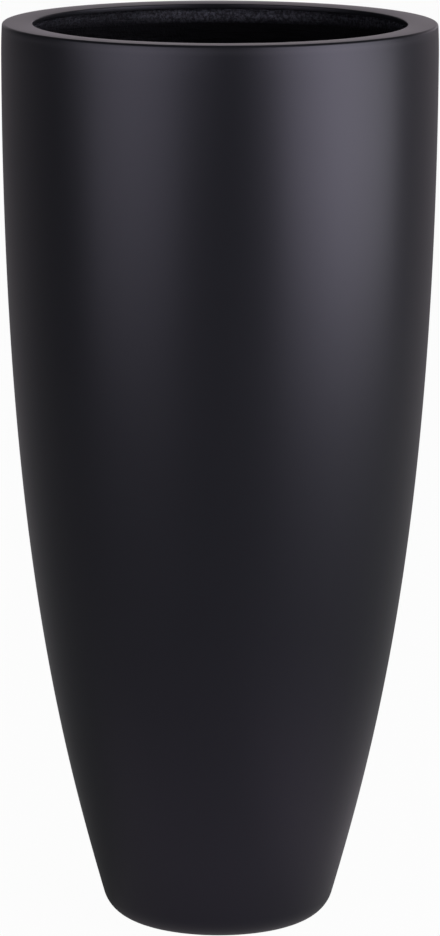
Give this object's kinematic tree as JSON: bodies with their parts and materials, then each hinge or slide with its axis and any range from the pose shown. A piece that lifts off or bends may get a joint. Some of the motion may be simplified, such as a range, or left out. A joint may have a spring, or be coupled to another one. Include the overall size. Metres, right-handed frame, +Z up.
{
  "type": "tall round planter",
  "caption": "Tall round vase planter with a flat inward rim, a tapering wall, a lift-out planting shelf and a plugged drain.",
  "frame": {"origin": "on the ground at the middle of the foot", "axes": "+Z up along the planter's axis; the shelf's two finger holes lie along X"},
  "size_m": [0.4274, 0.4274, 0.9015],
  "materials": {
    "painted_laminate": "satin",
    "bare_laminate": "matte",
    "shelf_board": "matte",
    "nylon": "satin",
    "black_rubber": "matte"
  },
  "bodies": {
    "planter": {"outer_shell": "painted_laminate", "rim_flange": "painted_laminate", "shelf_bracket_1": "bare_laminate", "shelf_bracket_2": "bare_laminate", "shelf_bracket_3": "bare_laminate", "shelf_bracket_4": "bare_laminate", "drain_bush": "nylon", "drain_gasket": "black_rubber", "drain_locknut": "nylon", "foot_pad_1": "black_rubber", "foot_pad_2": "black_rubber", "foot_pad_3": "black_rubber", "foot_pad_4": "black_rubber"},
    "shelf": {"planting_shelf": "shelf_board"},
    "plug": {"drain_plug": "black_rubber"}
  },
  "joints": [
    {"name": "shelf_lift", "type": "slide", "parent": "planter", "child": "shelf", "axis": [0, 0, 1], "range_m": [0, 0.54]},
    {"name": "drain_plug_pull", "type": "slide", "parent": "planter", "child": "plug", "axis": [0, 0, 1], "range_m": [0, 0.02]}
  ]
}
